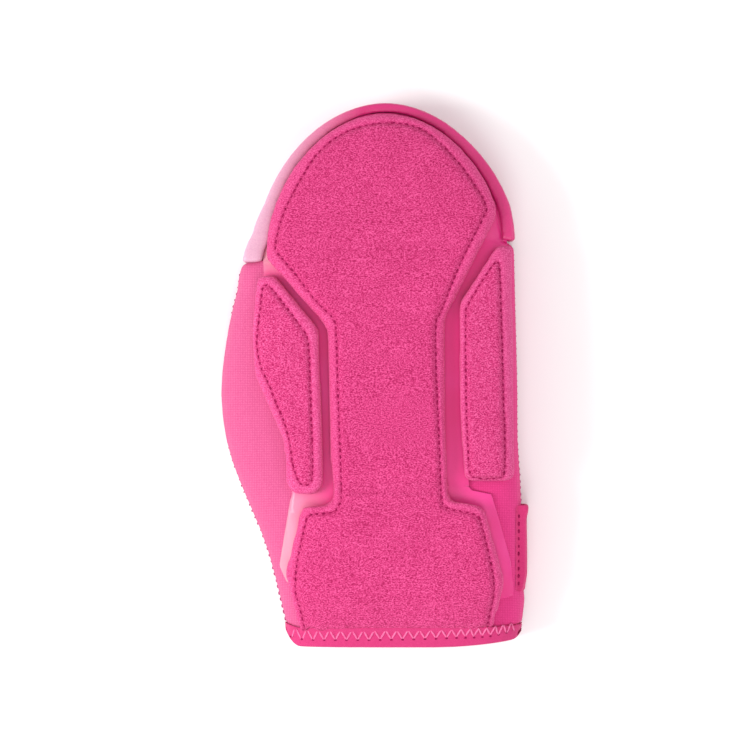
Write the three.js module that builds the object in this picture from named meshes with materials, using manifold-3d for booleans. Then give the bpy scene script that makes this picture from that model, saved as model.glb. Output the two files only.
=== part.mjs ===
// A base runner's sliding mitt, lying on its palm with the fingers towards +Y and the thumb side at -X.
// Lengths are millimetres, +Z is up, and the origin is under the middle of the mitt, on its resting surface.
import * as THREE from "three";
import { mergeVertices } from "three/addons/utils/BufferGeometryUtils.js";
import Module from "manifold-3d";

const wasm = await Module();
wasm.setup();

// Driving dimensions
const LENGTH = 283; // from the wrist end to the tip of the finger guard
const HALF_WIDTH = 68.5; // from the hand's axis to the outer face of the finger guard
const DEPTH = 41; // from the resting surface to the back of the hand under the pads
const SLEEVE_WALL = 2.6;
const PALM_WALL = 3;
const PALM_CORNER = 2;
const GUARD_WALL = 4.2;
const GUARD_EDGE = 1.4; // rounding of the guard's rims
const GUARD_STAND = 2.4; // how far the guard's rim stands above the back beside it
const FILM_WALL = 1.2;
const SHIELD_FOAM = 7.5;
const SIDE_FOAM = 6.5;
const FOAM_EDGE = 3; // rounding of the pads' edges
const CREASE_WIDTH = 7; // dip across the centre shield where it bends at the wrist
const HEM_WIDTH = 10;
const HEM_WALL = 1.6;
const STRAP_WIDTH = 45;
const STRAP_WALL = 2.4;
const STRAP_OFFSET = 29; // from the wrist end to the strap's near edge
const STRAP_TAB = 12; // rounding of the strap's free end
const GAP = 0.3; // clearance between pieces that touch
const PLAY = 0.15; // further room under what follows the curved back

// Levels of the sleeve above the resting surface
const PALM_FACE = STRAP_WALL + GAP;
const SEAM_LEVEL = PALM_FACE + PALM_WALL + GAP;
const MOUTH = HEM_WALL + GAP; // the sleeve's cut end, inside the hem
const HEM_END = HEM_WIDTH + GAP;

// Outline seen from above, as shares of LENGTH along the hand and of HALF_WIDTH to each side.
const OUTLINE = [
  { along: 0, left: 0.655, right: 0.94 },
  { along: 0.012, left: 0.7, right: 0.985 },
  { along: 0.035, left: 0.74, right: 1.005 },
  { along: 0.06, left: 0.782, right: 1.04 },
  { along: 0.1, left: 0.815, right: 1.045 },
  { along: 0.193, left: 0.924, right: 1.045 },
  { along: 0.303, left: 1.114, right: 1.03 },
  { along: 0.376, left: 1.215, right: 1.01 },
  { along: 0.468, left: 1.258, right: 1.008 },
  { along: 0.56, left: 1.22, right: 1 },
  { along: 0.633, left: 1.159, right: 0.992 },
  { along: 0.706, left: 1.068, right: 0.985 },
  { along: 0.757, left: 0.979, right: 0.979 },
];

// Height and fullness of the back. top is a share of DEPTH, ridge a share of HALF_WIDTH to the right of
// the hand's axis, and a higher fullness makes the side boxier.
const PROFILE = [
  { along: 0, top: 0.74, ridge: 0.1, leftFull: 3, rightFull: 3.4 },
  { along: 0.1, top: 0.86, ridge: 0.08, leftFull: 3, rightFull: 4.4 },
  { along: 0.3, top: 0.99, ridge: 0.05, leftFull: 3, rightFull: 6.5 },
  { along: 0.5, top: 1, ridge: 0, leftFull: 3.2, rightFull: 7 },
  { along: 0.7, top: 0.93, ridge: 0, leftFull: 5, rightFull: 7 },
  { along: 0.757, top: 0.89, ridge: 0, leftFull: 7, rightFull: 7 },
  { along: 0.9, top: 0.78, ridge: 0, leftFull: 7, rightFull: 7 },
  { along: 1, top: 0.7, ridge: 0, leftFull: 7, rightFull: 7 },
];

// The round finger end is a superellipse. from and rise are shares of LENGTH, width a share of HALF_WIDTH.
const FINGER_END = { from: 0.757, rise: 0.295, width: 0.998, power: 1.92 };
const GUARD_LEG = { left: 0.714, right: 0.747 }; // where the guard's legs end, as shares of LENGTH
const LEG_RUN = 3.5; // stretch over which the sleeve steps in under the guard's legs

// Pad and film outlines, counter-clockwise from above. round is the corner's radius in millimetres, and a
// row with arcTo follows the finger guard round to that share of LENGTH on the other side.
const SHIELD_OUTLINE = [
  { along: 0.776, across: -0.88, round: 0, arcTo: 0.817 },
  { along: 0.716, across: -0.915, round: 5 },
  { along: 0.589, across: -0.458, round: 8 },
  { along: 0.572, across: -0.45, round: 8 },
  { along: 0.261, across: -0.412, round: 4 },
  { along: 0.261, across: -0.625, round: 5 },
  { along: 0.246, across: -0.652, round: 5 },
  { along: 0.136, across: -0.745, round: 8 },
  { along: 0.126, across: -0.722, round: 8 },
  { along: 0.02, across: -0.6, round: 4 },
  { along: 0.02, across: 0.81, round: 4 },
  { along: 0.122, across: 0.905, round: 8 },
  { along: 0.252, across: 0.757, round: 6 },
  { along: 0.264, across: 0.7, round: 6 },
  { along: 0.264, across: 0.492, round: 5 },
  { along: 0.417, across: 0.462, round: 20 },
  { along: 0.6, across: 0.455, round: 9 },
  { along: 0.794, across: 0.852, round: 5 },
];
const THUMB_OUTLINE = [
  { along: 0.683, across: -0.968, round: 5 },
  { along: 0.582, across: -1.01, round: 20 },
  { along: 0.503, across: -1, round: 14 },
  { along: 0.38, across: -0.778, round: 20 },
  { along: 0.303, across: -0.748, round: 6 },
  { along: 0.279, across: -0.688, round: 5 },
  { along: 0.281, across: -0.5, round: 5 },
  { along: 0.303, across: -0.455, round: 5 },
  { along: 0.38, across: -0.462, round: 20 },
  { along: 0.585, across: -0.497, round: 8 },
  { along: 0.686, across: -0.84, round: 5 },
];
const OUTER_OUTLINE = [
  { along: 0.738, across: 0.838, round: 5 },
  { along: 0.63, across: 0.548, round: 8 },
  { along: 0.44, across: 0.55, round: 20 },
  { along: 0.304, across: 0.592, round: 5 },
  { along: 0.304, across: 0.978, round: 5 },
  { along: 0.741, across: 0.96, round: 5 },
];
const FILM_OUTLINE = [
  { along: 0.712, across: -0.93, round: 0, arcTo: 0.75 },
  { along: 0.688, across: -0.92, round: 3 },
  { along: 0.582, across: -0.975, round: 12 },
  { along: 0.503, across: -0.965, round: 12 },
  { along: 0.38, across: -0.74, round: 12 },
  { along: 0.284, across: -0.705, round: 3 },
  { along: 0.27, across: -0.722, round: 3 },
  { along: 0.15, across: -0.806, round: 3 },
  { along: 0.123, across: -0.758, round: 2 },
  { along: 0.088, across: -0.62, round: 3 },
  { along: 0.088, across: 0.86, round: 3 },
  { along: 0.096, across: 0.985, round: 1 },
  { along: 0.11, across: 0.97, round: 3 },
  { along: 0.161, across: 0.947, round: 6 },
  { along: 0.284, across: 0.8, round: 3 },
  { along: 0.29, across: 0.63, round: 2 },
  { along: 0.32, across: 0.625, round: 3 },
  { along: 0.6, across: 0.6, round: 8 },
  { along: 0.7, across: 0.86, round: 5 },
  { along: 0.73, across: 0.93, round: 3 },
];
const CREASE = 0.289; // place of the crease across the centre shield, as a share of LENGTH
const CREASE_SHARE = 0.42; // share of the foam left under the crease
const HEM_SHARE = 0.25; // share of the foam left where the centre shield runs into the hem
const HEM_RUN = 9; // stretch over which the foam thins towards the hem
const STRAP_ROOT = 0.985; // strap's stitched end on the right side, as a share of HALF_WIDTH
const STRAP_REACH = -0.5; // strap's free end under the palm, as a share of HALF_WIDTH

// Fineness of the faceted surfaces
const SLEEVE_ROWS = 18;
const END_ROWS = 10;
const SLEEVE_COLUMNS = 18;
const CROWDING = 2.2;
const GUARD_STEPS = 34;
const LEG_STEP = 5;
const STRAP_CURVE = 5;
const ROW_LEAST = 1.4;
const SHOULDER = 0.95; // how near the sleeve's outline the pads still follow its slope
const TIP_ANGLE = Math.PI * 0.49; // the finger end's last row, just short of its tip
const CORNER_CUT = 0.45; // most of an edge that one rounded corner takes
const EDGE_STEP = 0.3; // middle facet of a rounded edge, as a share of its radius
const EDGE_OF_WALL = 0.8; // most of a pad's thickness that its rounded edge takes
const EDGE_OF_WIDTH = 0.4; // most of a pad's width that one rounded edge takes
const RIM_SHARE = 0.88; // height of the back beside the guard, as a share of its top
const WELD = 1e-3; // points closer than this are one point

// Value of a table's column at a share of the length, on a smooth curve through the rows.
function columnAt(rows, column, along) {
  const last = rows.length - 1;
  const place = Math.min(Math.max(along, rows[0].along), rows[last].along);
  const next = Math.max(1, rows.findIndex((row) => row.along >= place));
  const slope = (i) => {
    const before = rows[Math.max(0, i - 1)];
    const after = rows[Math.min(last, i + 1)];
    return (after[column] - before[column]) / (after.along - before.along);
  };
  const [a, b] = [rows[next - 1], rows[next]];
  const span = b.along - a.along;
  const t = (place - a.along) / span;
  const rise = t * t * (3 - 2 * t);
  const lean = span * t * (1 - t) * ((1 - t) * slope(next - 1) - t * slope(next));
  return a[column] + (b[column] - a[column]) * rise + lean;
}

function smoothstep(low, high, value) {
  const t = Math.min(1, Math.max(0, (value - low) / (high - low)));
  return t * t * (3 - 2 * t);
}

// Distance along the round finger end, 0 where its superellipse starts and 1 at its tip.
function endShare(y, inset) {
  const start = LENGTH * (1 - FINGER_END.rise);
  return Math.max(0, (y - start) / (LENGTH * FINGER_END.rise - inset));
}

// Distance from the hand's axis to the mitt's outline, moved inwards by an inset.
function outlineAt(side, y, inset) {
  if (y / LENGTH <= FINGER_END.from) {
    return HALF_WIDTH * columnAt(OUTLINE, side, y / LENGTH) - inset;
  }
  const { width, power } = FINGER_END;
  const left = Math.max(0, 1 - endShare(y, inset) ** power);
  return (HALF_WIDTH * width - inset) * left ** (1 / power);
}

// How far the sleeve steps in to make room for the finger guard.
function recess(side, y) {
  const end = GUARD_LEG[side] * LENGTH;
  return (GUARD_WALL + GAP) * smoothstep(end - LEG_RUN, end - GAP, y);
}

// Height of the sleeve's outer surface over a point, for a surface moved inwards by an inset.
function backHeight(x, y, inset, shoulder) {
  const along = y / LENGTH;
  const ridge = HALF_WIDTH * columnAt(PROFILE, "ridge", along);
  const side = x > ridge ? "right" : "left";
  const full = columnAt(PROFILE, side === "right" ? "rightFull" : "leftFull", along);
  const tight = inset + recess(side, y);
  const rise = DEPTH * columnAt(PROFILE, "top", along) - SEAM_LEVEL - inset;
  let out;
  if (along <= FINGER_END.from) {
    const reach = outlineAt(side, y, tight) + (side === "right" ? -ridge : ridge);
    out = Math.abs(x - ridge) / reach;
  } else {
    const half = HALF_WIDTH * FINGER_END.width - tight;
    const end = endShare(y, tight);
    out = ((Math.abs(x) / half) ** FINGER_END.power + end ** FINGER_END.power) ** (1 / FINGER_END.power);
  }
  const held = Math.min(out, shoulder);
  return SEAM_LEVEL + rise * (1 - held ** full) ** (1 / full);
}

// Rows along the hand from a start to the finger tip, closer together on the round end.
function rowsAlong(start, inset) {
  const rows = [];
  const turn = LENGTH * FINGER_END.from;
  for (let i = 0; i < SLEEVE_ROWS; i += 1) {
    rows.push(start + ((turn - start) * i) / SLEEVE_ROWS);
  }
  const tight = inset + GUARD_WALL + GAP;
  const first = Math.asin(endShare(turn, tight) ** (FINGER_END.power / 2));
  for (let i = 0; i <= END_ROWS; i += 1) {
    const angle = first + ((TIP_ANGLE - first) * i) / END_ROWS;
    const share = Math.sin(angle) ** (2 / FINGER_END.power);
    rows.push(LENGTH * (1 - FINGER_END.rise) + share * (LENGTH * FINGER_END.rise - tight));
  }
  for (const leg of Object.values(GUARD_LEG)) {
    const end = leg * LENGTH;
    rows.push(end - LEG_RUN, end - LEG_RUN / 2, end - GAP);
  }
  rows.sort((a, b) => a - b);
  return rows.filter((y, i) => i === 0 || y - rows[i - 1] > GAP);
}

// Places across the back from the right seam to the left seam, closer together at the sides.
function backColumns(y, inset) {
  const ridge = HALF_WIDTH * columnAt(PROFILE, "ridge", y / LENGTH);
  const right = outlineAt("right", y, inset + recess("right", y));
  const left = -outlineAt("left", y, inset + recess("left", y));
  return Array.from({ length: SLEEVE_COLUMNS + 1 }, (_, j) => {
    const s = 1 - (2 * j) / SLEEVE_COLUMNS;
    const out = 1 - (1 - Math.abs(s)) ** CROWDING;
    return ridge + out * (s > 0 ? right - ridge : left - ridge);
  });
}

// One row of the back's surface, from the right seam over the back to the left seam.
function backRow(y, inset) {
  return backColumns(y, inset).map((x) => new THREE.Vector3(x, y, backHeight(x, y, inset, 1)));
}

// Closed solid through rings of points that run along +Y.
function loft(rings) {
  const count = rings[0].length;
  const last = (rings.length - 1) * count;
  const index = [];
  for (let i = 0; i + 1 < rings.length; i += 1) {
    for (let j = 0; j < count; j += 1) {
      const a = i * count + j;
      const b = i * count + ((j + 1) % count);
      index.push(a, a + count, b + count, a, b + count, b);
    }
  }
  let [low, high] = [0, count - 1];
  while (high - low > 1) {
    index.push(low, low + 1, high, last + low, last + high, last + low + 1);
    low += 1;
    if (high - low === 1) break;
    index.push(low, high - 1, high, last + low, last + high, last + high - 1);
    high -= 1;
  }
  const geometry = new THREE.BufferGeometry().setFromPoints(rings.flat());
  geometry.setIndex(index);
  return withoutFlatFaces(mergeVertices(geometry, WELD));
}

// Drops the faces that lost their area where points of neighbouring columns meet.
function withoutFlatFaces(geometry) {
  const index = geometry.index.array;
  const kept = [];
  for (let i = 0; i < index.length; i += 3) {
    const [a, b, c] = index.slice(i, i + 3);
    if (a !== b && b !== c && c !== a) kept.push(a, b, c);
  }
  geometry.setIndex(kept);
  return geometry;
}

// Arched solid under the back's surface, down to a floor.
function archSolid(start, inset, floor) {
  const rings = rowsAlong(start, inset).map((y) => {
    const row = backRow(y, inset);
    const right = row[0].clone().setZ(floor);
    const left = row[row.length - 1].clone().setZ(floor);
    return [right, ...row, left];
  });
  return loft(rings);
}

// Solid of the whole sleeve, back and palm, with rounded lower corners.
function bodySolid(start, inset) {
  const floor = PALM_FACE + inset;
  const rings = rowsAlong(start, inset).map((y) => {
    const row = backRow(y, inset);
    const right = row[0].x;
    const left = row[row.length - 1].x;
    const corner = Math.min(PALM_CORNER, (right - left) / 4);
    return [
      ...row,
      new THREE.Vector3(left, y, floor + corner),
      new THREE.Vector3(left + corner, y, floor),
      new THREE.Vector3(right - corner, y, floor),
      new THREE.Vector3(right, y, floor + corner),
    ];
  });
  return loft(rings);
}

// Boolean work on closed meshes
function solidOf(geometry) {
  const bare = new THREE.BufferGeometry().setAttribute("position", geometry.getAttribute("position"));
  bare.setIndex(geometry.index);
  const merged = mergeVertices(bare, WELD);
  return new wasm.Manifold(
    new wasm.Mesh({
      numProp: 3,
      vertProperties: merged.attributes.position.array,
      triVerts: new Uint32Array(merged.index.array),
    }),
  );
}

function geometryOf(solid) {
  const { vertProperties, triVerts } = solid.getMesh();
  const geometry = new THREE.BufferGeometry();
  geometry.setAttribute("position", new THREE.BufferAttribute(vertProperties, 3));
  geometry.setIndex(new THREE.BufferAttribute(triVerts, 1));
  return geometry;
}

// Box between two corners, as a solid for cutting.
function blockSolid(low, high) {
  const size = high.clone().sub(low);
  const box = new THREE.BoxGeometry(size.x, size.y, size.z);
  box.translate(low.x + size.x / 2, low.y + size.y / 2, low.z + size.z / 2);
  return solidOf(box);
}

const FAR = LENGTH + HALF_WIDTH;
const at = (x, y, z) => new THREE.Vector3(x, y, z);

// Points along the inside of the finger guard, from the right side round the tip to the left side.
function guardArc(fromRight, toLeft, inset, steps) {
  const { rise, width, power } = FINGER_END;
  const angleOf = (along) => Math.asin(endShare(along * LENGTH, inset) ** (power / 2));
  const first = angleOf(fromRight);
  const last = Math.PI - angleOf(toLeft);
  const points = [];
  for (let i = 0; i <= steps; i += 1) {
    const angle = first + ((last - first) * i) / steps;
    const [cos, sin] = [Math.cos(angle), Math.sin(angle)];
    const x = Math.sign(cos) * Math.abs(cos) ** (2 / power) * (HALF_WIDTH * width - inset);
    const y = LENGTH * (1 - rise) + sin ** (2 / power) * (LENGTH * rise - inset);
    points.push(new THREE.Vector2(x, y));
  }
  return points;
}

// Rounds one corner of a shape with an arc that meets both of its edges.
function roundCorner(shape, before, corner, after, round) {
  const back = before.clone().sub(corner);
  const ahead = after.clone().sub(corner);
  const turn = back.cross(ahead);
  const half = Math.acos(back.dot(ahead) / (back.length() * ahead.length())) / 2;
  const most = CORNER_CUT * Math.min(back.length(), ahead.length());
  const cut = Math.min(round / Math.tan(half), most);
  back.setLength(cut);
  ahead.setLength(cut);
  const centre = back.clone().add(ahead).setLength(cut / Math.cos(half)).add(corner);
  const from = back.add(corner);
  const to = ahead.add(corner);
  const angleOf = (point) => Math.atan2(point.y - centre.y, point.x - centre.x);
  if (shape.curves.length) shape.lineTo(from.x, from.y);
  else shape.moveTo(from.x, from.y);
  shape.absarc(centre.x, centre.y, cut * Math.tan(half), angleOf(from), angleOf(to), turn > 0);
}

// Shape of a pad or film from its table. Where a row has arcTo, it starts with the arc inside the guard.
function padShape(rows, inset) {
  const points = rows.map((row) => new THREE.Vector2(row.across * HALF_WIDTH, row.along * LENGTH));
  const shape = new THREE.Shape();
  const { along, arcTo } = rows[0];
  const arc = arcTo ? guardArc(arcTo, along, inset, GUARD_STEPS / 2) : [];
  if (arcTo) {
    shape.setFromPoints(arc);
    points[0] = arc[arc.length - 1];
  }
  const ends = arcTo ? arc[0] : points[0];
  for (let i = arcTo ? 1 : 0; i < rows.length; i += 1) {
    const before = points[(i + rows.length - 1) % rows.length];
    const after = i + 1 < rows.length ? points[i + 1] : ends;
    roundCorner(shape, before, points[i], after, rows[i].round);
  }
  shape.closePath();
  return shape;
}

// How much of the centre shield's foam is left at a place along the hand.
function foamLeft(y) {
  const dip = 1 - smoothstep(0, CREASE_WIDTH, Math.abs(y - CREASE * LENGTH));
  const full = HEM_SHARE + (1 - HEM_SHARE) * smoothstep(0, HEM_RUN, y - HEM_END);
  return (1 - (1 - CREASE_SHARE) * dip) * full;
}

// Places along the hand where a pad gets a section: its corners, its rounded ends and the sleeve's rows.
function padRows(points, edge) {
  const places = points.map((point) => point.y).sort((a, b) => a - b);
  const low = Math.max(HEM_END, places[0] + ROW_LEAST / 4);
  const high = places[places.length - 1] - ROW_LEAST / 4;
  const facet = edge * EDGE_STEP;
  const rounding = [low + facet, low + edge, high - edge, high - facet];
  const every = [...places, ...rounding, ...rowsAlong(MOUTH, 0)];
  const wanted = every.filter((y) => y > low && y < high - ROW_LEAST / 2);
  const rows = [low];
  for (const y of [...wanted.sort((a, b) => a - b), high]) {
    const from = rows[rows.length - 1];
    if (y - from < ROW_LEAST && y < high) continue;
    rows.push(y);
  }
  return rows;
}

// The least and greatest x of an outline at a place along the hand.
function spanAt(points, y) {
  const crossings = [];
  points.forEach((a, i) => {
    const b = points[(i + 1) % points.length];
    if (a.y === b.y || (a.y - y) * (b.y - y) > 0) return;
    crossings.push(a.x + ((b.x - a.x) * (y - a.y)) / (b.y - a.y));
  });
  return [Math.min(...crossings), Math.max(...crossings)];
}

// The sleeve's own rows, level beyond the shoulder, for what lies on it.
const BACK_ROWS = rowsAlong(MOUTH, 0).map((y) => ({
  y,
  points: backColumns(y, 0).map((x) => ({ x, z: backHeight(x, y, 0, SHOULDER) })),
}));

// The sleeve's faceted row at any place along the hand.
function facetedRow(y) {
  const after = Math.max(1, BACK_ROWS.findIndex((row) => row.y >= y));
  const [a, b] = [BACK_ROWS[after - 1], BACK_ROWS[after]];
  const t = (y - a.y) / (b.y - a.y);
  return a.points.map((point, j) => ({
    x: point.x + (b.points[j].x - point.x) * t,
    z: point.z + (b.points[j].z - point.z) * t,
  }));
}

// Height of a faceted row at a distance from the hand's axis.
function heightOn(row, x) {
  const after = row.findIndex((point) => point.x <= x);
  if (after < 1) return row[after < 0 ? row.length - 1 : 0].z;
  const [a, b] = [row[after - 1], row[after]];
  return b.z + ((a.z - b.z) * (x - b.x)) / (a.x - b.x);
}

// Solid with rounded upper edges, laid over the back at a height above the sleeve.
function layOnBack(shape, { wall, edge = 0, above, left = () => 1 }) {
  const points = shape.getPoints(2);
  const rows = padRows(points, edge);
  const [first, last] = [rows[0], rows[rows.length - 1]];
  const rings = rows.map((y) => {
    const [low, high] = spanAt(points, y);
    const toEnd = Math.min(edge, last - y, first > HEM_END ? y - first : edge);
    const thick = wall * left(y) - edge + Math.sqrt(edge ** 2 - (edge - toEnd) ** 2);
    const round = Math.min(edge, thick * EDGE_OF_WALL, (high - low) * EDGE_OF_WIDTH);
    const facet = round * EDGE_STEP;
    const row = facetedRow(y);
    const place = (x, up) => at(x, y, heightOn(row, x) + above + up);
    const between = (inset) => row.map(({ x }) => Math.max(low + inset, Math.min(high - inset, x)));
    const sideUp = (x, inwards) => [
      place(x, 0),
      place(x, thick - round),
      place(x + inwards * facet, thick - facet),
      place(x + inwards * round, thick),
    ];
    const top = between(round).map((x) => place(x, thick));
    const bottom = between(0).map((x) => place(x, 0));
    return [...sideUp(high, -1), ...top, ...sideUp(low, 1).reverse(), ...bottom.reverse()];
  });
  return loft(rings);
}

// The pieces
function backSleeve() {
  const outer = solidOf(archSolid(MOUTH, 0, SEAM_LEVEL - GAP));
  const hollow = solidOf(archSolid(-HEM_WIDTH, SLEEVE_WALL, -DEPTH));
  const palm = blockSolid(at(-FAR, -FAR, -FAR), at(FAR, FAR, SEAM_LEVEL));
  return geometryOf(outer.subtract(hollow).subtract(palm));
}

function palmPanel() {
  const body = solidOf(bodySolid(MOUTH, 0));
  const back = blockSolid(at(-FAR, -FAR, PALM_FACE + PALM_WALL), at(FAR, FAR, FAR));
  return geometryOf(body.subtract(back));
}

function baseFilm() {
  const shape = padShape(FILM_OUTLINE, GUARD_WALL + 2 * GAP);
  return layOnBack(shape, { wall: FILM_WALL, above: GAP + PLAY });
}

function centreShield() {
  const shape = padShape(SHIELD_OUTLINE, GUARD_WALL + 3 * GAP);
  const above = FILM_WALL + 2 * (GAP + PLAY);
  return layOnBack(shape, { wall: SHIELD_FOAM, edge: FOAM_EDGE, above, left: foamLeft });
}

function sidePad(rows) {
  const above = FILM_WALL + 2 * (GAP + PLAY);
  return layOnBack(padShape(rows, 0), { wall: SIDE_FOAM, edge: FOAM_EDGE, above });
}

// Height of the guard's rim beside the back at a place along the hand.
function rimHeight(y) {
  const rise = DEPTH * columnAt(PROFILE, "top", y / LENGTH) - SEAM_LEVEL;
  return SEAM_LEVEL + rise * RIM_SHARE + GUARD_STAND;
}

function fingerGuard() {
  const { from, rise } = FINGER_END;
  const legPoints = (side, inset) => {
    const sign = side === "right" ? 1 : -1;
    const [low, high] = [LENGTH * GUARD_LEG[side], LENGTH * from];
    const steps = Math.max(1, Math.round((high - low) / LEG_STEP));
    return Array.from({ length: steps }, (_, i) => {
      const y = low + ((high - low) * i) / steps;
      return new THREE.Vector2(sign * outlineAt(side, y, inset), y);
    });
  };
  const around = (inset) => {
    const low = Math.max(from, 1 - rise);
    const arc = guardArc(low, low, inset, GUARD_STEPS);
    return [...legPoints("right", inset), ...arc, ...legPoints("left", inset).reverse()];
  };
  const shape = new THREE.Shape([...around(0), ...around(GUARD_WALL).reverse()]);
  const wall = new THREE.ExtrudeGeometry(shape, {
    depth: 1,
    bevelThickness: GUARD_EDGE,
    bevelSize: GUARD_EDGE,
    bevelOffset: -GUARD_EDGE,
    bevelSegments: 2,
  });
  const position = wall.getAttribute("position");
  for (let i = 0; i < position.count; i += 1) {
    const z = position.getZ(i);
    const rim = rimHeight(position.getY(i));
    position.setZ(i, z > 0.5 ? rim + (z - 1 - GUARD_EDGE) : z + GUARD_EDGE);
  }
  return wall;
}

// Ring of cloth round the sleeve between two distances outside it.
function sleeveBand(inner, outer) {
  return solidOf(bodySolid(0, -outer)).subtract(solidOf(bodySolid(-HEM_WIDTH, -inner)));
}

function wristHem() {
  const band = sleeveBand(GAP, MOUTH);
  const hollow = solidOf(archSolid(-HEM_WIDTH, SLEEVE_WALL, PALM_FACE + PALM_WALL));
  const lip = solidOf(bodySolid(0, -MOUTH)).subtract(hollow);
  const beyondLip = blockSolid(at(-FAR, HEM_WALL, -FAR), at(FAR, FAR, FAR));
  const beyondHem = blockSolid(at(-FAR, HEM_WIDTH, -FAR), at(FAR, FAR, FAR));
  return geometryOf(band.subtract(beyondHem).add(lip.subtract(beyondLip)));
}

function wristStrap() {
  const tip = STRAP_REACH * HALF_WIDTH;
  const [low, high] = [STRAP_OFFSET, STRAP_OFFSET + STRAP_WIDTH];
  const shape = new THREE.Shape();
  shape.moveTo(FAR, low);
  shape.lineTo(FAR, high);
  shape.lineTo(tip + STRAP_TAB, high);
  shape.quadraticCurveTo(tip, high, tip, high - STRAP_TAB);
  shape.lineTo(tip, low + STRAP_TAB);
  shape.quadraticCurveTo(tip, low, tip + STRAP_TAB, low);
  const settings = { depth: DEPTH * 2, bevelEnabled: false, curveSegments: STRAP_CURVE };
  const prism = new THREE.ExtrudeGeometry(shape, settings);
  prism.translate(0, 0, -DEPTH / 2);
  const overBack = blockSolid(at(-FAR, -FAR, SEAM_LEVEL), at(STRAP_ROOT * HALF_WIDTH, FAR, FAR));
  const band = sleeveBand(GAP, GAP + STRAP_WALL);
  return geometryOf(band.intersect(solidOf(prism)).subtract(overBack));
}

// Colours and finishes
const FINISH = {
  pile: { color: "#e54a8c", roughness: 0.95 },
  sidePile: { color: "#dc4386", roughness: 0.95 },
  knit: { color: "#f56fab", roughness: 0.9 },
  moulded: { color: "#e2407f", roughness: 0.4 },
  film: { color: "#fb8fc4", roughness: 0.35 },
  binding: { color: "#e44084", roughness: 0.85 },
  strap: { color: "#d43276", roughness: 0.9 },
};

const PIECES = [
  { name: "back_sleeve", build: backSleeve, finish: "knit" },
  { name: "palm_panel", build: palmPanel, finish: "knit" },
  { name: "base_film", build: baseFilm, finish: "film" },
  { name: "finger_guard", build: fingerGuard, finish: "moulded" },
  { name: "centre_shield", build: centreShield, finish: "pile" },
  { name: "thumb_pad", build: () => sidePad(THUMB_OUTLINE), finish: "sidePile" },
  { name: "outer_pad", build: () => sidePad(OUTER_OUTLINE), finish: "sidePile" },
  { name: "wrist_hem", build: wristHem, finish: "binding" },
  { name: "wrist_strap", build: wristStrap, finish: "strap" },
];

const mitt = new THREE.Group();
for (const { name, build, finish } of PIECES) {
  const material = new THREE.MeshStandardMaterial({ ...FINISH[finish], metalness: 0 });
  const mesh = new THREE.Mesh(build(), material);
  mesh.name = name;
  mitt.add(mesh);
}

// The origin is under the middle of the mitt.
const box = new THREE.Box3().setFromObject(mitt);
const middle = box.getCenter(new THREE.Vector3());
mitt.position.set(-middle.x, -middle.y, -box.min.z);

export default mitt;
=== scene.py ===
# %% [markdown]
# # A sliding mitt, dressed in Blender
# A base runner wears this mitt over one hand. It lies here on its palm, with the fingers away from us and the
# thumb side on the left. The construction model gives each piece its size and place, and this lesson gives
# each piece its cloth, foam, thread or moulding. We start by loading that model as a fixed frame.

# %% Load the frame
import math

import bpy
import numpy as np
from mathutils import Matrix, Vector
from mathutils.bvhtree import BVHTree


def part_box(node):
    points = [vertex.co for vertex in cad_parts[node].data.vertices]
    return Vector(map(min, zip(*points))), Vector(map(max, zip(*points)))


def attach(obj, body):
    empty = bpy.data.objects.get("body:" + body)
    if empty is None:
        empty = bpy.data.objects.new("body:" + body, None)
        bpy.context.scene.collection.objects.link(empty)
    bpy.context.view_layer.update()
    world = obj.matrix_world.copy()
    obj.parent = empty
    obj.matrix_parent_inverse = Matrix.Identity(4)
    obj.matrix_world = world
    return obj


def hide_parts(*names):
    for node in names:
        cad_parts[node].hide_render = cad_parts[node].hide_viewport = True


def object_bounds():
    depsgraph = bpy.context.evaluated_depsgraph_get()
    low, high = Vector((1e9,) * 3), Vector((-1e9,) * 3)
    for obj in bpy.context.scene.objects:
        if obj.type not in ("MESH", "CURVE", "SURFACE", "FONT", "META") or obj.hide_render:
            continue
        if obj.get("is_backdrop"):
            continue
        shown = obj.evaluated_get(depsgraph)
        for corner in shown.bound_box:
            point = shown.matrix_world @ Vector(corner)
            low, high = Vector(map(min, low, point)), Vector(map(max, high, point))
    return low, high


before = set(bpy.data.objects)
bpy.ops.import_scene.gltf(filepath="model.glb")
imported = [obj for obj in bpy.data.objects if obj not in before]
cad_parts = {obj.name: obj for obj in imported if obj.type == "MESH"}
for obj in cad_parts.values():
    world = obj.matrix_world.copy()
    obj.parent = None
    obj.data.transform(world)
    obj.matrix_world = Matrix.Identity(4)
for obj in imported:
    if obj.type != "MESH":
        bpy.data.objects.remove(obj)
CAD_BOX = [list(corner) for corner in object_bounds()]
MM = 0.001
print("frame nodes:", sorted(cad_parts))

# %% [markdown]
# ## From the photograph to the frame
# The photograph looks straight down, so one scale and one centre turn its pixels into places on the mitt. The
# mitt is 545 pixels long there. Stitch lines below are read off in pixels, and these helpers put them in metres.
# Two more give a soft start: ease rises from 0 to 1 between two values, and window rises and falls again.

# %% Pixels to metres
LENGTH_PIXELS = 545
AXIS_PIXEL = 385
MIDDLE_ROW = 374.5
guard_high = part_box("finger_guard")[1]
hem_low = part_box("wrist_hem")[0]
PIXEL = (guard_high.y - hem_low.y) / LENGTH_PIXELS
AXIS_X = 5.9 * MM


def place_of(pixel):
    return Vector((AXIS_X + (pixel[0] - AXIS_PIXEL) * PIXEL, (MIDDLE_ROW - pixel[1]) * PIXEL))


def pixels_of(points):
    return AXIS_PIXEL + (points[:, 0] - AXIS_X) / PIXEL, MIDDLE_ROW - points[:, 1] / PIXEL


def ease(low, high, value):
    share = np.clip((value - low) / (high - low), 0, 1)
    return share * share * (3 - 2 * share)


def window(rise, fall, value):
    return ease(*rise, value) * (1 - ease(*fall, value))


print("one pixel is", round(PIXEL / MM, 3), "mm")

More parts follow.
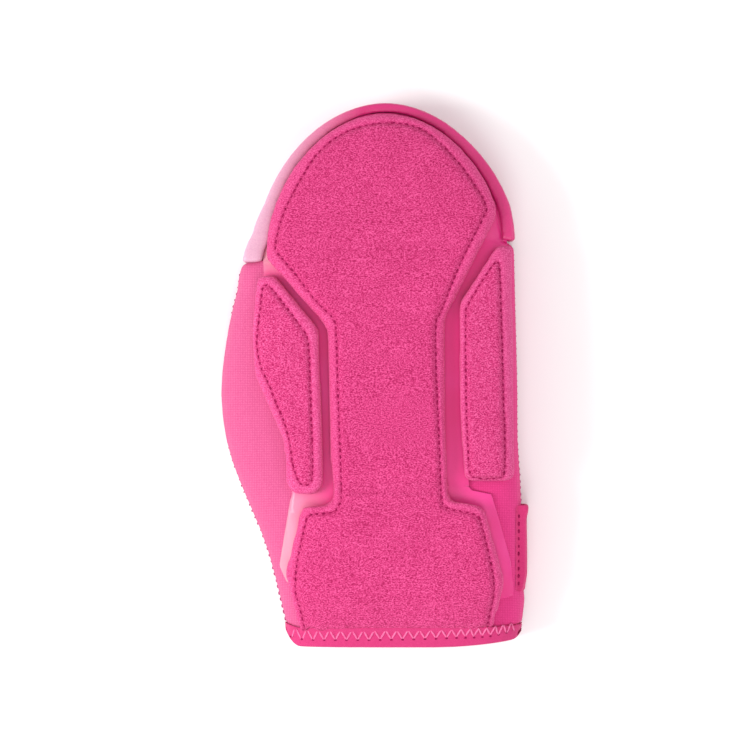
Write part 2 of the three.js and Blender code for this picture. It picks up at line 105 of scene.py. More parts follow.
# %% [markdown]
# ## Camera, floor and light
# The camera hangs high above the mitt with a long lens, so that the sides hardly show, as in a product
# photograph. The floor is plain and pale. One soft light stands on the left, a weaker one hangs overhead, a
# faint one stands on the right, and the world fills the shadows. A plain display curve keeps the pinks as
# strong as they are in the photograph, because the filmic curve greys bright colours.

# %% Camera
CAMERA_HEIGHT = 2.6
SENSOR = 36.0
PHOTO_WIDTH_PIXELS = 750
PHOTO_MIDDLE = 374.5
OUTLINE_HEIGHT = 0.6  # the share of the mitt's height at which most of its outline lies
mitt_top = CAD_BOX[1][2]
camera_data = bpy.data.cameras.new("photo_camera")
camera_data.sensor_width = SENSOR
camera_data.lens = SENSOR * (CAMERA_HEIGHT - OUTLINE_HEIGHT * mitt_top) / (PHOTO_WIDTH_PIXELS * PIXEL)
camera = bpy.data.objects.new("photo_camera", camera_data)
camera.location = (place_of((PHOTO_MIDDLE, MIDDLE_ROW)).x, 0.0, CAMERA_HEIGHT)
bpy.context.scene.collection.objects.link(camera)
bpy.context.scene.camera = camera
print("lens", round(camera_data.lens, 1), "mm")

# %% Floor and lights
bpy.ops.object.select_all(action="DESELECT")
bpy.ops.mesh.primitive_plane_add(size=6.0, location=(0, 0, 0))
floor = bpy.context.object
floor.name = "floor"
floor_paint = bpy.data.materials.new("floor_paint")
floor_paint.use_nodes = True
floor_shader = floor_paint.node_tree.nodes["Principled BSDF"]
floor_shader.inputs["Base Color"].default_value = (0.93, 0.93, 0.93, 1)
floor_shader.inputs["Roughness"].default_value = 0.9
floor.data.materials.append(floor_paint)
floor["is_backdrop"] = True


def soft_light(name, place, size, power):
    data = bpy.data.lights.new(name, "AREA")
    data.shape = "DISK"
    data.size = size
    data.energy = power
    light = bpy.data.objects.new(name, data)
    light.location = place
    light.rotation_euler = (-Vector(place)).to_track_quat("-Z", "Y").to_euler()
    bpy.context.scene.collection.objects.link(light)


soft_light("left_softbox", (-1.5, -0.22, 1.12), 1.0, 28)
soft_light("top_softbox", (0.1, -1.1, 1.9), 1.0, 13)
soft_light("right_fill", (1.5, 0.1, 1.3), 1.4, 8)
world = bpy.data.worlds.new("studio")
world.use_nodes = True
world.node_tree.nodes["Background"].inputs["Color"].default_value = (1, 1, 1, 1)
world.node_tree.nodes["Background"].inputs["Strength"].default_value = 0.75
bpy.context.scene.world = world
bpy.context.scene.view_settings.view_transform = "Standard"
print("three soft lights and a white world")

# %% [markdown]
# ## Helpers for cloth and foam
# A soft piece starts as a copy of its plain solid. Its loose triangles are merged, a voxel remesh gives it an
# even skin, and smoothing melts the facets. Such a skin can then be blown up, grooved and stitched.

# %% Copy, remesh and smooth
MERGE_DISTANCE = 0.00001


def only(piece):
    bpy.ops.object.select_all(action="DESELECT")
    piece.select_set(True)
    bpy.context.view_layer.objects.active = piece


def apply_modifier(piece, kind, **settings):
    only(piece)
    modifier = piece.modifiers.new(kind.lower(), kind)
    for key, value in settings.items():
        setattr(modifier, key, value)
    bpy.ops.object.modifier_apply(modifier=modifier.name)


def merged_copy(node, name, cuts=0):
    piece = bpy.data.objects.new(name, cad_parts[node].data.copy())
    bpy.context.scene.collection.objects.link(piece)
    piece.data.materials.clear()
    only(piece)
    bpy.ops.object.mode_set(mode="EDIT")
    bpy.ops.mesh.select_all(action="SELECT")
    bpy.ops.mesh.remove_doubles(threshold=MERGE_DISTANCE)
    if cuts:
        bpy.ops.mesh.subdivide(number_cuts=cuts)
    bpy.ops.object.mode_set(mode="OBJECT")
    return piece


def soft_copy(node, name, voxel, smoothing):
    piece = merged_copy(node, name)
    apply_modifier(piece, "REMESH", mode="VOXEL", voxel_size=voxel, use_smooth_shade=True)
    apply_modifier(piece, "SMOOTH", factor=0.5, iterations=smoothing)
    print(name, "has", len(piece.data.polygons), "faces")
    return piece


# %% Points of a mesh as numbers


def points_of(mesh, normals=False):
    source = mesh.vertex_normals if normals else mesh.vertices
    flat = np.empty(len(mesh.vertices) * 3, np.float32)
    source.foreach_get("vector" if normals else "co", flat)
    return flat.reshape(-1, 3)


def move_points(mesh, points):
    mesh.vertices.foreach_set("co", points.astype(np.float32).ravel())
    mesh.update()


def mark_points(piece, name, values):
    attribute = piece.data.attributes.new(name, "FLOAT", "POINT")
    attribute.data.foreach_set("value", np.asarray(values, dtype=np.float32))


# %% Inflate foam with a cloth simulation
FRAMES = 20
UNDERSIDE = -0.3


def puff(piece, pressure, cap):
    rest = points_of(piece.data)
    up = points_of(piece.data, normals=True)[:, 2]
    cloth = piece.modifiers.new("cloth", "CLOTH")
    cloth.settings.use_pressure = True
    cloth.settings.uniform_pressure_force = pressure
    cloth.settings.effector_weights.gravity = 0
    for number in range(1, FRAMES + 1):
        bpy.context.scene.frame_set(number)
    depsgraph = bpy.context.evaluated_depsgraph_get()
    swollen = points_of(piece.evaluated_get(depsgraph).data)
    piece.modifiers.remove(cloth)
    bpy.context.scene.frame_set(1)
    shift = swollen - rest
    length = np.linalg.norm(shift, axis=1, keepdims=True)
    shift *= np.minimum(1, cap / np.maximum(length, 1e-9))
    shift[up < UNDERSIDE] = 0
    move_points(piece.data, rest + shift)
    print(piece.name, "swelled by up to", round(float(np.abs(shift).max()) / MM, 2), "mm")


# %% [markdown]
# ## Stitch lines
# A row of stitches pulls the pile down into a groove, and what lies outside it rolls over as a smooth welt. Each line
# is a smooth curve through a few places read off the photograph. Moving the skin by its distance to that curve makes
# the groove. How far outside the line a point lies, and how deep in the groove, are kept as attributes, so that the
# material can make the welt smoother and darken the imported pile in the groove with painted shade.

# %% Smooth curve through places


def curve_through(places, step, closed):
    count = len(places)
    pick = (lambda i: places[i % count]) if closed else (lambda i: places[min(max(i, 0), count - 1)])
    fine = []
    for i in range(count if closed else count - 1):
        a, b, c, d = pick(i - 1), pick(i), pick(i + 1), pick(i + 2)
        parts = max(2, int((c - b).length / (0.3 * MM)))
        for k in range(parts):
            t = k / parts
            bend = 2 * a - 5 * b + 4 * c - d
            fine.append(0.5 * (2 * b + (c - a) * t + bend * t * t + (3 * b - a - 3 * c + d) * t**3))
    fine.append(places[0] if closed else places[-1])
    line = np.array([tuple(point) for point in fine])
    along = np.concatenate([[0], np.cumsum(np.linalg.norm(np.diff(line, axis=0), axis=1))])
    wanted = np.linspace(0, along[-1], max(2, round(along[-1] / step)), endpoint=not closed)
    return np.stack([np.interp(wanted, along, line[:, axis]) for axis in range(2)], axis=1)


# %% Distance to a line, and which side of it


def distance_to(line, points):
    nearest = np.empty(len(points))
    for start in range(0, len(points), 4000):
        part = points[start : start + 4000, None, :2] - line[None, :, :]
        nearest[start : start + 4000] = np.sqrt((part**2).sum(axis=2).min(axis=1))
    return nearest


def inside(line, points):
    x, y = points[:, 0], points[:, 1]
    held = np.zeros(len(points), bool)
    for (ax, ay), (bx, by) in zip(line, np.roll(line, -1, axis=0)):
        crosses = (ay > y) != (by > y)
        held ^= crosses & (x < (bx - ax) * (y - ay) / ((by - ay) or 1e-12) + ax)
    return held


# %% Press the groove and mark the welt


def facing_up(normals):
    return np.clip(normals[:, 2] * 1.6, 0, 1)


def press_stitches(piece, line, depth, width, drop):
    points = points_of(piece.data).astype(float)
    up = facing_up(points_of(piece.data, normals=True))
    distance = distance_to(line, points)
    outside = ~inside(line, points)
    groove = depth * np.exp(-((distance / width) ** 2) / 2)
    points[:, 2] -= up * (groove + drop * outside * ease(0, 2.5 * width, distance))
    move_points(piece.data, points)
    mark_points(piece, "welt", outside * ease(0.3 * width, 1.6 * width, distance))
    mark_points(piece, "groove", groove / depth)


# %% [markdown]
# ## Thread
# One stitch is a short rounded bead of thread. It is modelled once, then copied along a line with its own
# points, each copy laid on the cloth under it. A ray cast downwards finds the cloth's height there.

# %% One stitch
RAY_START = 0.2
DOWNWARDS = Vector((0, 0, -1))
STITCH_SEED = 7
SIZE_SPREAD = (0.8, 1.15)
bpy.ops.object.select_all(action="DESELECT")
bpy.ops.mesh.primitive_uv_sphere_add(segments=8, ring_count=5, radius=1.0, location=(0, 0, 0))
stitch_model = bpy.context.object
STITCH_POINTS = points_of(stitch_model.data).copy()
STITCH_FACES = [tuple(face.vertices) for face in stitch_model.data.polygons]
bpy.data.objects.remove(stitch_model)
print("a stitch has", len(STITCH_FACES), "faces")


def surface_of(*pieces):
    return [BVHTree.FromObject(piece, bpy.context.evaluated_depsgraph_get()) for piece in pieces]


def touch_down(surfaces, x, y):
    best = None
    for tree in surfaces:
        hit = tree.ray_cast(Vector((x, y, RAY_START)), DOWNWARDS)
        if hit[0] is not None and (best is None or hit[0].z > best[0].z):
            best = hit
    return best


def sew(name, beads, material):
    points, faces = [], []
    for centre, direction, normal, size in beads:
        side = normal.cross(direction).normalized()
        front = side.cross(normal).normalized()
        turn = np.array([front, side, normal]).T
        base = len(points) * len(STITCH_POINTS)
        points.append((STITCH_POINTS * size) @ turn.T + np.array(centre))
        faces.extend(tuple(base + index for index in face) for face in STITCH_FACES)
    mesh = bpy.data.meshes.new(name)
    mesh.from_pydata(np.concatenate(points).tolist(), [], faces)
    mesh.polygons.foreach_set("use_smooth", [True] * len(faces))
    thread = bpy.data.objects.new(name, mesh)
    bpy.context.scene.collection.objects.link(thread)
    mesh.materials.append(material)
    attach(thread, "root")
    print(name, "has", len(beads), "stitches")
    return thread


def stitches_along(surfaces, line, pitch, size, sink):
    beads = []
    random = np.random.default_rng(STITCH_SEED)
    lengths = np.concatenate([[0], np.cumsum(np.linalg.norm(np.diff(line, axis=0), axis=1))])
    for place in np.arange(pitch / 2, lengths[-1], pitch):
        here = Vector([float(np.interp(place, lengths, line[:, axis])) for axis in range(2)])
        ahead = Vector([float(np.interp(place + pitch / 4, lengths, line[:, axis])) for axis in range(2)])
        hit = touch_down(surfaces, here.x, here.y)
        if hit is None or (ahead - here).length == 0:
            continue
        direction = Vector((ahead.x - here.x, ahead.y - here.y, 0))
        varied = tuple(np.array(size) * random.uniform(*SIZE_SPREAD))
        beads.append((hit[0] - hit[1] * sink, direction, hit[1], varied))
    return beads


# %% [markdown]
# ## Materials
# The pads are faced with a short looped pile. Loops catch the light at their tips and hide it between them, so two
# noises at loop size mix a lighter and a darker pink, and the same noise raises a bump. In the stitch groove the pile
# is darkened with painted shade. The knit of the sleeve has fine ribs that cross, and on its right side, away from the
# left lamp, it turns a deeper pink that is partly its own hue and partly painted shade. The film and the guard are
# smooth and moulded, and towards the thumb side they carry a pale painted highlight of the left lamp. The lights are
# strong enough to make the floor pure white, so all colours are set darker.

# %% Material helpers
FIRST, SECOND, RESULT = 6, 7, 2  # the colour sockets of a mix node
EXPOSURE = 1.38


def material_nodes(name, roughness, sheen=0.0):
    material = bpy.data.materials.new(name)
    material.use_nodes = True
    tree = material.node_tree
    shader = tree.nodes["Principled BSDF"]
    shader.inputs["Roughness"].default_value = roughness
    shader.inputs["Sheen Weight"].default_value = sheen
    shader.inputs["Sheen Roughness"].default_value = 0.6
    coordinates = tree.nodes.new("ShaderNodeTexCoord")
    return material, tree, shader, coordinates.outputs["Object"]


def noise(tree, where, scale, detail=2.0, roughness=0.5, stretch=(1, 1, 1)):
    mapping = tree.nodes.new("ShaderNodeMapping")
    mapping.inputs["Scale"].default_value = stretch
    tree.links.new(where, mapping.inputs["Vector"])
    texture = tree.nodes.new("ShaderNodeTexNoise")
    texture.inputs["Scale"].default_value = scale
    texture.inputs["Detail"].default_value = detail
    texture.inputs["Roughness"].default_value = roughness
    tree.links.new(mapping.outputs["Vector"], texture.inputs["Vector"])
    return texture.outputs["Fac"]


def ramp(tree, factor, stops):
    node = tree.nodes.new("ShaderNodeValToRGB")
    elements = node.color_ramp.elements
    while len(elements) < len(stops):
        elements.new(0.5)
    for element, (position, colour) in zip(elements, stops):
        element.position = position
        element.color = (*colour, 1)
    tree.links.new(factor, node.inputs["Fac"])
    return node.outputs["Color"]


def mix(tree, blend_type, first):
    node = tree.nodes.new("ShaderNodeMix")
    node.data_type = "RGBA"
    node.blend_type = blend_type
    tree.links.new(first, node.inputs[FIRST])
    return node


def multiply(tree, first, second):
    node = mix(tree, "MULTIPLY", first)
    node.inputs["Factor"].default_value = 1.0
    tree.links.new(second, node.inputs[SECOND])
    return node.outputs[RESULT]


def product(tree, first):
    node = tree.nodes.new("ShaderNodeMath")
    node.operation = "MULTIPLY"
    tree.links.new(first, node.inputs[0])
    return node


def marked(tree, name):
    node = tree.nodes.new("ShaderNodeAttribute")
    node.attribute_name = name
    return node.outputs["Fac"]


def bump(tree, shader, height, strength, distance):
    node = tree.nodes.new("ShaderNodeBump")
    node.inputs["Strength"].default_value = strength
    node.inputs["Distance"].default_value = distance
    tree.links.new(height, node.inputs["Height"])
    tree.links.new(node.outputs["Normal"], shader.inputs["Normal"])


def linear(red, green, blue):
    plain = (((c / 255 + 0.055) / 1.055) ** 2.4 if c > 10 else c / 3294 for c in (red, green, blue))
    return tuple(c / EXPOSURE for c in plain)


# %% Pile
LOOP_SCALE = 1900
WELT_SHARE = 0.6
GROOVE_SHADE_TINT = (0.84, 0.66, 0.78)


def pile(name, dark, middle, light, welt_dark, welt_light):
    material, tree, shader, where = material_nodes(name, 0.95, sheen=0.05)
    shader.inputs["Specular IOR Level"].default_value = 0.15
    loops = noise(tree, where, LOOP_SCALE, detail=2.0, roughness=0.6, stretch=(0.62, 1, 1))
    colour = ramp(tree, loops, [(0.36, dark), (0.5, middle), (0.64, light)])
    patches = noise(tree, where, 60, detail=3)
    shade = ramp(tree, patches, [(0.3, (0.93, 0.86, 0.9)), (0.7, (1, 1, 1))])
    edge = ramp(tree, loops, [(0.38, welt_dark), (0.62, welt_light)])
    both = mix(tree, "MIX", multiply(tree, colour, shade))
    part = product(tree, marked(tree, "welt"))
    part.inputs[1].default_value = WELT_SHARE
    tree.links.new(part.outputs[0], both.inputs["Factor"])
    tree.links.new(edge, both.inputs[SECOND])
    # Painted shade: the pile is darkened in the stitch groove.
    groove_shade = ramp(tree, marked(tree, "groove"), [(0.25, (1, 1, 1)), (1.0, GROOVE_SHADE_TINT)])
    tree.links.new(multiply(tree, both.outputs[RESULT], groove_shade), shader.inputs["Base Color"])
    bump(tree, shader, loops, 0.5, 0.45 * MM)
    return material


# %% Knit, film, guard and thread
KNIT_PERIOD = 0.9 * MM
WAVE_UNIT = 0.314
TINT_REACH = 20 * MM


def knit(name, dark, light, period, right_hue_and_shade=None):
    material, tree, shader, where = material_nodes(name, 0.85, sheen=0.06)
    shader.inputs["Specular IOR Level"].default_value = 0.2
    ribs = []
    for direction in ("X", "Y"):
        wave = tree.nodes.new("ShaderNodeTexWave")
        wave.bands_direction = direction
        wave.inputs["Scale"].default_value = WAVE_UNIT / period
        wave.inputs["Distortion"].default_value = 2.2
        wave.inputs["Detail"].default_value = 2.0
        wave.inputs["Detail Scale"].default_value = 3.0
        tree.links.new(where, wave.inputs["Vector"])
        ribs.append(wave.outputs["Fac"])
    mixed = product(tree, ribs[0])
    tree.links.new(ribs[1], mixed.inputs[1])
    colour = ramp(tree, mixed.outputs[0], [(0.0, dark), (0.6, light)])
    fuzz = ramp(tree, noise(tree, where, 900, detail=3), [(0.3, (0.94, 0.88, 0.92)), (0.65, (1, 1, 1))])
    colour = multiply(tree, colour, fuzz)
    # The right side of the sleeve, away from the left lamp, is tinted a deeper pink: partly the knit's own hue, partly
    # painted shade.
    if right_hue_and_shade is not None:
        axes = tree.nodes.new("ShaderNodeSeparateXYZ")
        tree.links.new(where, axes.inputs[0])
        side = tree.nodes.new("ShaderNodeMapRange")
        side.inputs["From Min"].default_value = -TINT_REACH
        side.inputs["From Max"].default_value = TINT_REACH
        tree.links.new(axes.outputs["X"], side.inputs["Value"])
        tint = ramp(tree, side.outputs["Result"], [(0.2, (1, 1, 1)), (0.8, right_hue_and_shade)])
        colour = multiply(tree, colour, tint)
    tree.links.new(colour, shader.inputs["Base Color"])
    bump(tree, shader, mixed.outputs[0], 0.3, 0.2 * MM)
    return material


def moulded(name, dark, light, highlight_colour, gloss, grain):
    material, tree, shader, where = material_nodes(name, 0.36)
    shader.inputs["Specular IOR Level"].default_value = gloss
    colour = ramp(tree, noise(tree, where, 30, detail=2), [(0.35, dark), (0.65, light)])
    # Painted highlight: a pale colour is mixed in by the marked share, where the left lamp would glint.
    both = mix(tree, "MIX", colour)
    tree.links.new(marked(tree, "painted_highlight"), both.inputs["Factor"])
    both.inputs[SECOND].default_value = (*highlight_colour, 1)
    fine = noise(tree, where, 1500, detail=2)
    grains = ramp(tree, fine, [(0.35, (1 - grain, 1 - 2 * grain, 1 - grain)), (0.65, (1, 1, 1))])
    tree.links.new(multiply(tree, both.outputs[RESULT], grains), shader.inputs["Base Color"])
    bump(tree, shader, fine, 0.15, 0.1 * MM)
    return material


# Marks how much pale painted highlight a piece gets at each point.
def paint_highlight(piece, share):
    mark_points(piece, "painted_highlight", share)


def thread_material(name, dark, light):
    material, tree, shader, where = material_nodes(name, 0.85)
    shader.inputs["Specular IOR Level"].default_value = 0.1
    twist = noise(tree, where, 2600, detail=2, stretch=(1, 0.35, 1))
    tree.links.new(ramp(tree, twist, [(0.35, dark), (0.65, light)]), shader.inputs["Base Color"])
    bump(tree, shader, twist, 0.4, 0.15 * MM)
    return material


shield_pile = pile(
    "shield_pile", linear(176, 26, 88), linear(226, 62, 131), linear(255, 100, 166),
    linear(226, 66, 134), linear(255, 104, 168),
)
side_pile = pile(
    "side_pile", linear(180, 28, 92), linear(230, 66, 134), linear(255, 108, 172),
    linear(230, 72, 140), linear(255, 112, 174),
)
gusset_knit = knit(
    "gusset_knit", linear(222, 84, 142), linear(242, 114, 166), KNIT_PERIOD, right_hue_and_shade=(1.12, 0.4, 0.86)
)
hem_knit = knit("hem_knit", linear(214, 46, 116), linear(246, 78, 148), 0.6 * MM)
strap_knit = knit("strap_knit", linear(222, 48, 118), linear(248, 70, 142), 0.7 * MM)
film_skin = moulded(
    "film_skin", linear(250, 46, 142), linear(254, 58, 156), linear(247, 160, 182), 0.45, 0.03
)
guard_skin = moulded(
    "guard_skin", linear(228, 46, 126), linear(238, 56, 136), linear(246, 190, 213), 0.5, 0.09
)
# Its dark colour is partly painted shade, for stitches deep in a groove and for holes.
thread_and_painted_shade = thread_material("thread_and_painted_shade", linear(138, 8, 68), linear(188, 30, 100))
pale_thread = thread_material("pale_thread", linear(248, 96, 158), linear(255, 140, 190))
plum_thread = thread_material("plum_thread", linear(150, 46, 98), linear(220, 104, 156))
print("materials:", len(bpy.data.materials))

# %% [markdown]
# ## The sleeve
# The sleeve is a knit over thin padding. Its two panels meet in a seam along the side. An even skin with round
# edges is nearly all it needs, because its form is already that of the hand inside it. At the wrist the mitt
# ends in round corners, so one shift moves the sleeve, the palm, the shield and the hem there. The cloth is
# also drawn in under the hem and let out a little under the guard's left leg and beside the strap.

# %% Rounded wrist
LEFT_CORNER = (300, 15, 15, 2.2)
RIGHT_RISE = (430, 85, 7, 2.0)
RIGHT_CORNER = (512, 10.5, 8, 2.0)
WRIST_RUN = (622, 647)


def round_wrist(points):
    across, down = pixels_of(points)
    start, span, most, power = LEFT_CORNER
    lift = most * np.clip((start - across) / span, 0, 1.1) ** power
    for start, span, most, power in (RIGHT_RISE, RIGHT_CORNER):
        lift += most * np.clip((across - start) / span, 0, 1.2) ** power
    share = np.clip((down - WRIST_RUN[0]) / (WRIST_RUN[1] - WRIST_RUN[0]), 0, 1.1)
    points[:, 1] += lift * share * PIXEL


# %% Sleeve and palm
LEG_FILL = 3.0
LEG_ROWS = ((250, 262), (268, 294))
LEG_EDGE = (248, 264)
UNDER_HEM = 1.2 * MM
UNDER_HEM_ROWS = (616, 625)
WRIST_FILL = 3.0
WRIST_ROWS = ((575, 605), (619, 627))
WRIST_EDGE = (500, 515)
SEAM_REACH = 1.3 * MM
SEAM_LEVEL = 5.73 * MM
SEAM_RIM = (6.4 * MM, 9.5 * MM)


def plain_cloth(node, name, voxel, smoothing, material):
    piece = soft_copy(node, name, voxel, smoothing)
    piece.data.materials.append(material)
    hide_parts(node)
    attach(piece, "root")
    return piece


sleeve = plain_cloth("back_sleeve", "sleeve_knit", 1.4 * MM, 6, gusset_knit)
palm = plain_cloth("palm_panel", "palm_knit", 1.6 * MM, 4, gusset_knit)
for cloth in (sleeve, palm):
    points = points_of(cloth.data).astype(float)
    across, down = pixels_of(points)
    below_leg = window(*LEG_ROWS, down) * (1 - ease(*LEG_EDGE, across))
    points[:, 0] -= LEG_FILL * PIXEL * below_leg
    points[:, 1] -= UNDER_HEM * ease(*UNDER_HEM_ROWS, down)
    wide = window(*WRIST_ROWS, down) * ease(*WRIST_EDGE, across)
    points[:, 0] += WRIST_FILL * PIXEL * wide
    if cloth is sleeve:
        reach = SEAM_REACH * (1 - ease(*SEAM_RIM, points[:, 2]))
        points[:, 2] = np.maximum(points[:, 2] - reach, SEAM_LEVEL)
    round_wrist(points)
    move_points(cloth.data, points)
sleeve_low, palm_high = points_of(sleeve.data)[:, 2].min(), points_of(palm.data)[:, 2].max()
print("the sleeve starts at", round(float(sleeve_low) / MM, 2), "mm, the palm ends at", round(float(palm_high) / MM, 2))

# %% [markdown]
# ## The film
# The film is a thin smooth skin that shows in the channels between the pads. A remesh would blur its crisp edges, so
# its own solid is divided into small faces instead, and each point is shifted up or down by as much as the smooth
# sleeve differs from the plain one under it. On the thumb side its wrist band and upper corners carry a pale painted
# highlight of the left lamp.

# %% Film laid on the sleeve
FILM_SINK = 0.2 * MM
HIGHLIGHT_ABOVE = (256, 280)
HIGHLIGHT_BELOW = (478, 500)
HIGHLIGHT_EDGE = 280
HIGHLIGHT_SPAN = 52
film = merged_copy("base_film", "film_panel", cuts=3)
plain_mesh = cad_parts["back_sleeve"].data
plain_faces = [tuple(face.vertices) for face in plain_mesh.polygons]
plain_back = BVHTree.FromPolygons([vertex.co for vertex in plain_mesh.vertices], plain_faces)
smooth_back = BVHTree.FromObject(sleeve, bpy.context.evaluated_depsgraph_get())
points = points_of(film.data).astype(float)
for point in points:
    above = Vector((point[0], point[1], RAY_START))
    plain, smooth = (tree.ray_cast(above, DOWNWARDS)[0] for tree in (plain_back, smooth_back))
    if plain is not None and smooth is not None:
        point[2] += max(-MM, min(MM, smooth.z - plain.z)) - FILM_SINK
move_points(film.data, points)
across, down = pixels_of(points)
# Painted highlight: on the thumb side the film's wrist band and upper corners turn pale, where the left lamp glints on
# them.
bands = np.maximum(ease(*HIGHLIGHT_BELOW, down), 1 - ease(*HIGHLIGHT_ABOVE, down))
paint_highlight(film, bands * (1 - np.clip((across - HIGHLIGHT_EDGE) / HIGHLIGHT_SPAN, 0, 1)))
bpy.ops.object.shade_smooth_by_angle(angle=math.radians(40))
film.data.materials.append(film_skin)
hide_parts("base_film")
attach(film, "root")
print("film has", len(film.data.polygons), "faces")

# %% [markdown]
# ## The centre shield
# One long panel of pile over foam runs from the fingertips to the wrist, with a crease where it bends. The foam
# pushes the pile out, so the copy of its solid is blown up a little by a cloth simulation, then refined and
# pressed in along its stitch line. Its lower left corner is drawn out first, to the line the photograph shows.

# %% Foam pads
FOAM_PRESSURE = 4.0
LINE_STEP = 0.5 * MM
GROOVE_DEPTH = 1.25 * MM
GROOVE_WIDTH = 0.8 * MM
WELT_DROP = 0.5 * MM
FOAM_SWELL = 0.7 * MM


def foam_pad(node, name, voxel, pixels, closed, material, shape=None):
    piece = soft_copy(node, name, voxel, 3)
    puff(piece, FOAM_PRESSURE, FOAM_SWELL)
    apply_modifier(piece, "SUBSURF", levels=1, render_levels=1)
    if shape is not None:
        shape(piece)
    line = curve_through([place_of(pixel) for pixel in pixels], LINE_STEP, closed)
    press_stitches(piece, line, GROOVE_DEPTH, GROOVE_WIDTH, WELT_DROP)
    piece.data.materials.append(material)
    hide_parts(node)
    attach(piece, "root")
    return piece, line


# %% Centre shield
SHIELD_STITCHES = [
    (304, 628), (299, 605), (295, 588), (297, 562), (305, 524), (310, 514), (332, 511), (339, 503), (341, 488),
    (338, 402), (336, 337), (333, 319), (316, 301), (290, 268), (277, 252), (276, 241), (285, 210), (305, 172),
    (320, 151), (346, 132), (384, 123), (422, 130), (455, 160), (476.5, 189.5), (485, 207), (482, 218),
    (460, 262), (440.5, 310), (435, 324), (435, 367), (438.5, 450), (440.5, 497), (447, 507), (466, 511),
    (476, 515), (480, 523), (489, 559), (493, 587), (489, 612), (486, 628),
]
WIDEN_ROWS = (525, 560, 580, 595, 626)
WIDEN_EDGES = (298, 291, 290, 296, 307)
WIDEN_BY = (0, 1.5, 4.0, 4.8, 7.0)
WIDEN_REACH = 24


def widen_wrist(piece):
    points = points_of(piece.data).astype(float)
    across, down = pixels_of(points)
    edge = np.interp(down, WIDEN_ROWS, WIDEN_EDGES)
    near = 1 - ease(0, WIDEN_REACH, across - edge)
    points[:, 0] -= np.interp(down, WIDEN_ROWS, WIDEN_BY) * near * PIXEL
    move_points(piece.data, points)


shield, shield_line = foam_pad(
    "centre_shield", "shield_foam", 2.3 * MM, SHIELD_STITCHES, False, shield_pile, widen_wrist
)

# %% [markdown]
# ## Crease and wrist end
# Where the hand bends, the foam stops and starts again, and the pile over that gap sinks into a shallow fold
# with a steeper side towards the wrist. At the wrist the pile runs in under the hem. Both are moves of the same
# skin, with a soft start and end.

# %% Crease
CREASE_ROW = 490.0
CREASE_RISE = (332, 346)
CREASE_DROP = (433, 447)
DIP_HALF = 13.5
DIP_FILL = 3.0 * MM
FOLD_DEPTH = 1.3 * MM
FOLD_SPREAD = (5.0, 2.6)
points = points_of(shield.data).astype(float)
normals = points_of(shield.data, normals=True).astype(float)
across, down = pixels_of(points)
up = facing_up(normals)
between = window(CREASE_RISE, CREASE_DROP, across)
points[:, 2] += up * DIP_FILL * (1 - ease(0, DIP_HALF, np.abs(down - CREASE_ROW)))
spread = np.where(down < CREASE_ROW, *FOLD_SPREAD)
points[:, 2] -= up * between * FOLD_DEPTH * np.exp(-(((down - CREASE_ROW) / spread) ** 2) / 2)

# %% Wrist end of the shield
TUCK_ROWS = (612, 626)
TUCK_DOWN = 0.9 * MM
TUCK_ALONG = 1.3
LEFT_EXTRA = 0.9
LEFT_EXTRA_EDGE = (318, 335)
tucked = ease(*TUCK_ROWS, down)
points[:, 2] -= TUCK_DOWN * tucked
points[:, 1] -= (TUCK_ALONG + LEFT_EXTRA * (1 - ease(*LEFT_EXTRA_EDGE, across))) * MM * tucked
round_wrist(points)
move_points(shield.data, points)
print("crease and wrist end shaped")

# %% [markdown]
# ## The side pads
# The thumb pad and the outer pad are made the same way, each with a stitch line that closes on itself. Each
# line is again a few places read off the photograph, listed once round the pad.

# %% Side pads
THUMB_STITCHES = [
    (264, 286), (261, 302), (258.5, 325), (257, 345), (261, 366), (269, 384), (276, 402), (284, 421), (290, 444),
    (293, 464), (298, 479), (304, 484), (311, 481), (312.5, 465), (312, 440), (310, 380), (308.5, 345),
    (305, 333), (296, 320), (283, 303), (272, 289),
]
OUTER_STITCHES = [
    (496, 262), (489, 269), (480, 283), (467, 305), (464.5, 320), (465, 400), (467, 452), (469, 472),
    (476, 477), (496, 477), (503, 471), (503.4, 432), (502, 400), (501, 348), (499.5, 300), (498.5, 272),
]
thumb_pad, thumb_line = foam_pad(
    "thumb_pad", "thumb_foam", 1.8 * MM, THUMB_STITCHES, True, side_pile
)
outer_pad, outer_line = foam_pad(
    "outer_pad", "outer_foam", 1.8 * MM, OUTER_STITCHES, True, side_pile
)

# %% [markdown]
# ## The finger guard
# A thick smooth band of soft plastic is moulded round the finger end. Its upper rim leans in until it meets the
# centre shield, and the rim is broader at the two legs. The skin starts as an even copy of the band, and its
# inner face is then moved inwards near the top. The legs are shifted to the lines that the photograph shows.

# %% Finger guard
GUARD_LEAN = 2.5 * MM
LEFT_LEAN = 4.4 * MM
RIGHT_LEAN = 2.6 * MM
LEG_TOP_ROW = 250
LEAN_ROWS = (165, 235)
RIM_BELOW_TOP = (11 * MM, 5 * MM)
LEFT_END_ROWS = (250, 258)
LEFT_END_LONGER = 4.0
LEFT_LEG = ((203, 222, 242, 260), (0, -3, -5, -4))
RIGHT_LEG = ((135, 172, 205, 236), (0, 2, 3, 0))
INNER_SHARE = 0.7
GUARD_HIGHLIGHT_EDGE = 262
GUARD_HIGHLIGHT_SPAN = 100


def outward_from_axis(points):
    middle = place_of((AXIS_PIXEL, LEG_TOP_ROW)).y
    direction = np.stack([points[:, 0] - AXIS_X, np.maximum(points[:, 1] - middle, 0)], axis=1)
    return direction / np.maximum(np.linalg.norm(direction, axis=1, keepdims=True), 1e-6)


